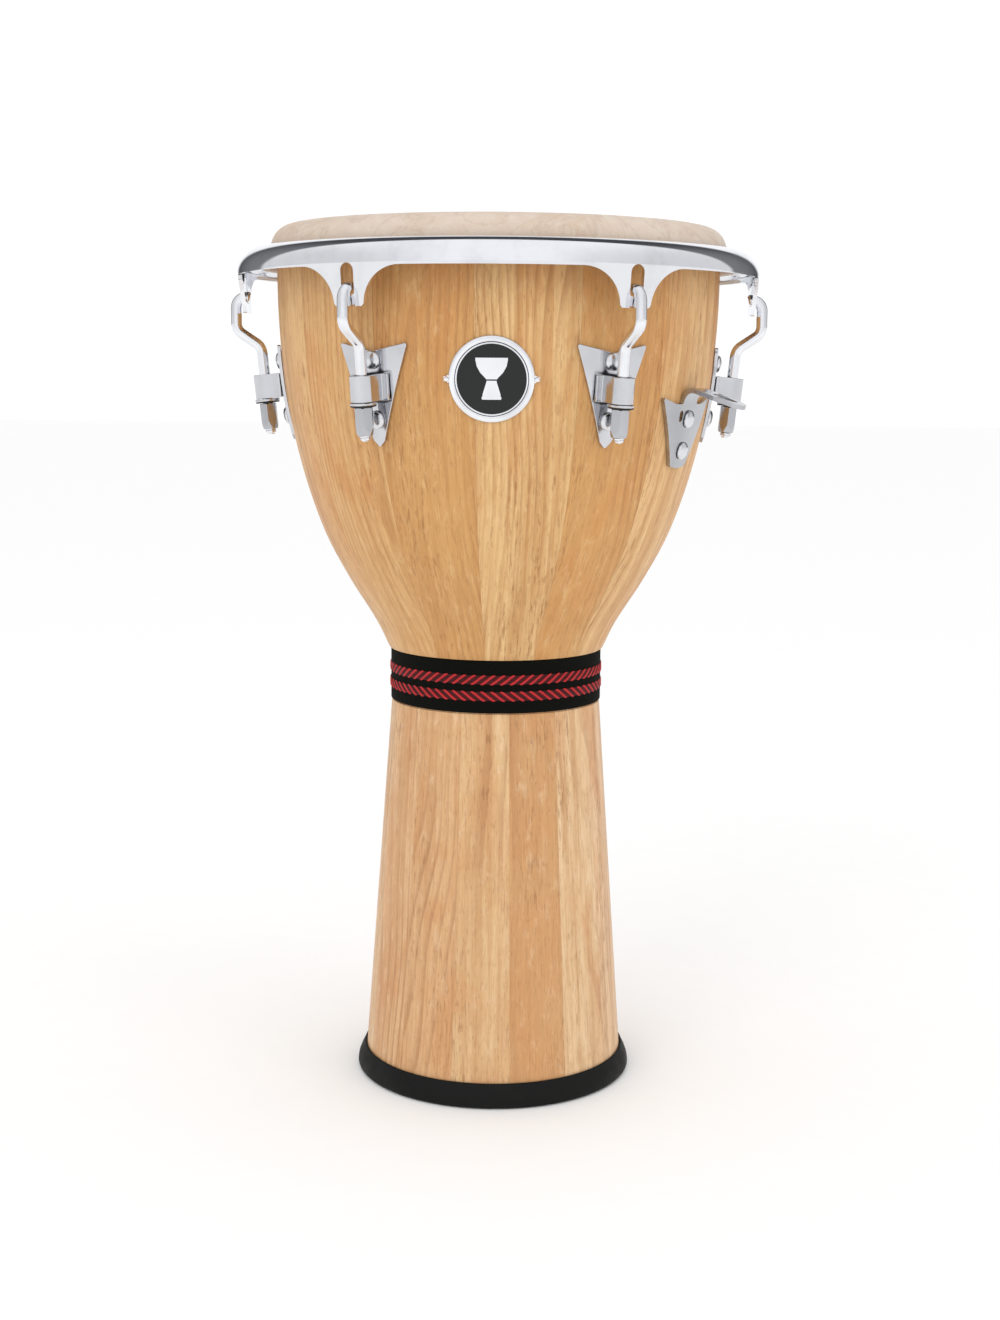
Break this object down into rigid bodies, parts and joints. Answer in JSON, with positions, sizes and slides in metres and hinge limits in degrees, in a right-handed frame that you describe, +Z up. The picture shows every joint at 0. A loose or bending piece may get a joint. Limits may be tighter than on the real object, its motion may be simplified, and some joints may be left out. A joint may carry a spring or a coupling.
{
  "type": "djembe",
  "caption": "Goblet-shaped wooden hand drum with a rawhide head, chromed rim, hook-and-nut tuning hardware, strap bracket, woven neck band and rubber foot ring.",
  "frame": {"origin": "centre of the foot's underside, on the drum's axis", "axes": "+Z up the drum's axis; -Y is the front, where the badge is; a tuning lug points along +X"},
  "size_m": [0.388, 0.3732, 0.622],
  "materials": {
    "oak": "clear satin lacquer over pale staves",
    "chrome": "polished",
    "rubber": "matt",
    "webbing": "black ribbon with two red cords woven in",
    "rawhide": "natural, translucent, mottled",
    "zinc": "zinc plated",
    "badge": "black enamel disc in a chromed ring"
  },
  "bodies": {
    "drum": {"bowl": "oak", "stem": "oak", "base_ring": "rubber", "neck_band": "webbing", "saddle_1": "chrome", "saddle_2": "chrome", "saddle_3": "chrome", "saddle_4": "chrome", "saddle_5": "chrome", "saddle_6": "chrome", "washer_1": "chrome", "washer_2": "chrome", "washer_3": "chrome", "washer_4": "chrome", "washer_5": "chrome", "washer_6": "chrome", "side_plate_1": "chrome", "side_plate_2": "chrome", "side_plate_3": "chrome", "side_plate_4": "chrome", "side_plate_5": "chrome", "side_plate_6": "chrome", "bolt_1": "zinc", "bolt_2": "zinc", "bolt_3": "zinc", "bolt_4": "zinc", "bolt_5": "zinc", "bolt_6": "zinc", "bolt_7": "zinc", "bolt_8": "zinc", "bolt_9": "zinc", "bolt_10": "zinc", "bolt_11": "zinc", "bolt_12": "zinc", "bolt_13": "zinc", "bolt_14": "zinc", "strap_bracket": "chrome", "badge": "badge", "badge_pin_1": "chrome", "badge_pin_2": "chrome"},
    "head_assembly": {"rim": "chrome", "flesh_hoop": "zinc", "head_skin": "rawhide"},
    "hook_1": {"tuning_hook_1": "chrome"},
    "nut_1": {"tuning_nut_1": "chrome"},
    "hook_2": {"tuning_hook_2": "chrome"},
    "nut_2": {"tuning_nut_2": "chrome"},
    "hook_3": {"tuning_hook_3": "chrome"},
    "nut_3": {"tuning_nut_3": "chrome"},
    "hook_4": {"tuning_hook_4": "chrome"},
    "nut_4": {"tuning_nut_4": "chrome"},
    "hook_5": {"tuning_hook_5": "chrome"},
    "nut_5": {"tuning_nut_5": "chrome"},
    "hook_6": {"tuning_hook_6": "chrome"},
    "nut_6": {"tuning_nut_6": "chrome"}
  },
  "joints": [
    {"name": "rim_lift", "type": "slide", "parent": "drum", "child": "head_assembly", "axis": [0, 0, 1], "range_m": [0, 0.008]},
    {"name": "hook_lift_1", "type": "slide", "parent": "drum", "child": "hook_1", "axis": [0.1045, 0, 0.9945], "range_m": [0, 0.00806]},
    {"name": "nut_turn_1", "type": "hinge", "parent": "drum", "child": "nut_1", "pos_m": [0.169, 0, 0.509], "axis": [-0.1045, 0, -0.9945], "range_deg": [0, 2057]},
    {"name": "hook_lift_2", "type": "slide", "parent": "drum", "child": "hook_2", "axis": [0.0523, 0.0905, 0.9945], "range_m": [0, 0.00806]},
    {"name": "nut_turn_2", "type": "hinge", "parent": "drum", "child": "nut_2", "pos_m": [0.0845, 0.14636, 0.509], "axis": [-0.0523, -0.0905, -0.9945], "range_deg": [0, 2057]},
    {"name": "hook_lift_3", "type": "slide", "parent": "drum", "child": "hook_3", "axis": [-0.0523, 0.0905, 0.9945], "range_m": [0, 0.00806]},
    {"name": "nut_turn_3", "type": "hinge", "parent": "drum", "child": "nut_3", "pos_m": [-0.0845, 0.14636, 0.509], "axis": [0.0523, -0.0905, -0.9945], "range_deg": [0, 2057]},
    {"name": "hook_lift_4", "type": "slide", "parent": "drum", "child": "hook_4", "axis": [-0.1045, 0, 0.9945], "range_m": [0, 0.00806]},
    {"name": "nut_turn_4", "type": "hinge", "parent": "drum", "child": "nut_4", "pos_m": [-0.169, 0, 0.509], "axis": [0.1045, 0, -0.9945], "range_deg": [0, 2057]},
    {"name": "hook_lift_5", "type": "slide", "parent": "drum", "child": "hook_5", "axis": [-0.0523, -0.0905, 0.9945], "range_m": [0, 0.00806]},
    {"name": "nut_turn_5", "type": "hinge", "parent": "drum", "child": "nut_5", "pos_m": [-0.0845, -0.14636, 0.509], "axis": [0.0523, 0.0905, -0.9945], "range_deg": [0, 2057]},
    {"name": "hook_lift_6", "type": "slide", "parent": "drum", "child": "hook_6", "axis": [0.0523, -0.0905, 0.9945], "range_m": [0, 0.00806]},
    {"name": "nut_turn_6", "type": "hinge", "parent": "drum", "child": "nut_6", "pos_m": [0.0845, -0.14636, 0.509], "axis": [-0.0523, 0.0905, -0.9945], "range_deg": [0, 2057]}
  ],
  "couplings": [
    {"joint": "hook_lift_1", "follows": "rim_lift", "ratio": 1.0055},
    {"joint": "nut_turn_1", "follows": "rim_lift", "rad_per_m": 4477.2},
    {"joint": "hook_lift_2", "follows": "rim_lift", "ratio": 1.0055},
    {"joint": "nut_turn_2", "follows": "rim_lift", "rad_per_m": 4477.2},
    {"joint": "hook_lift_3", "follows": "rim_lift", "ratio": 1.0055},
    {"joint": "nut_turn_3", "follows": "rim_lift", "rad_per_m": 4477.2},
    {"joint": "hook_lift_4", "follows": "rim_lift", "ratio": 1.0055},
    {"joint": "nut_turn_4", "follows": "rim_lift", "rad_per_m": 4477.2},
    {"joint": "hook_lift_5", "follows": "rim_lift", "ratio": 1.0055},
    {"joint": "nut_turn_5", "follows": "rim_lift", "rad_per_m": 4477.2},
    {"joint": "hook_lift_6", "follows": "rim_lift", "ratio": 1.0055},
    {"joint": "nut_turn_6", "follows": "rim_lift", "rad_per_m": 4477.2}
  ]
}
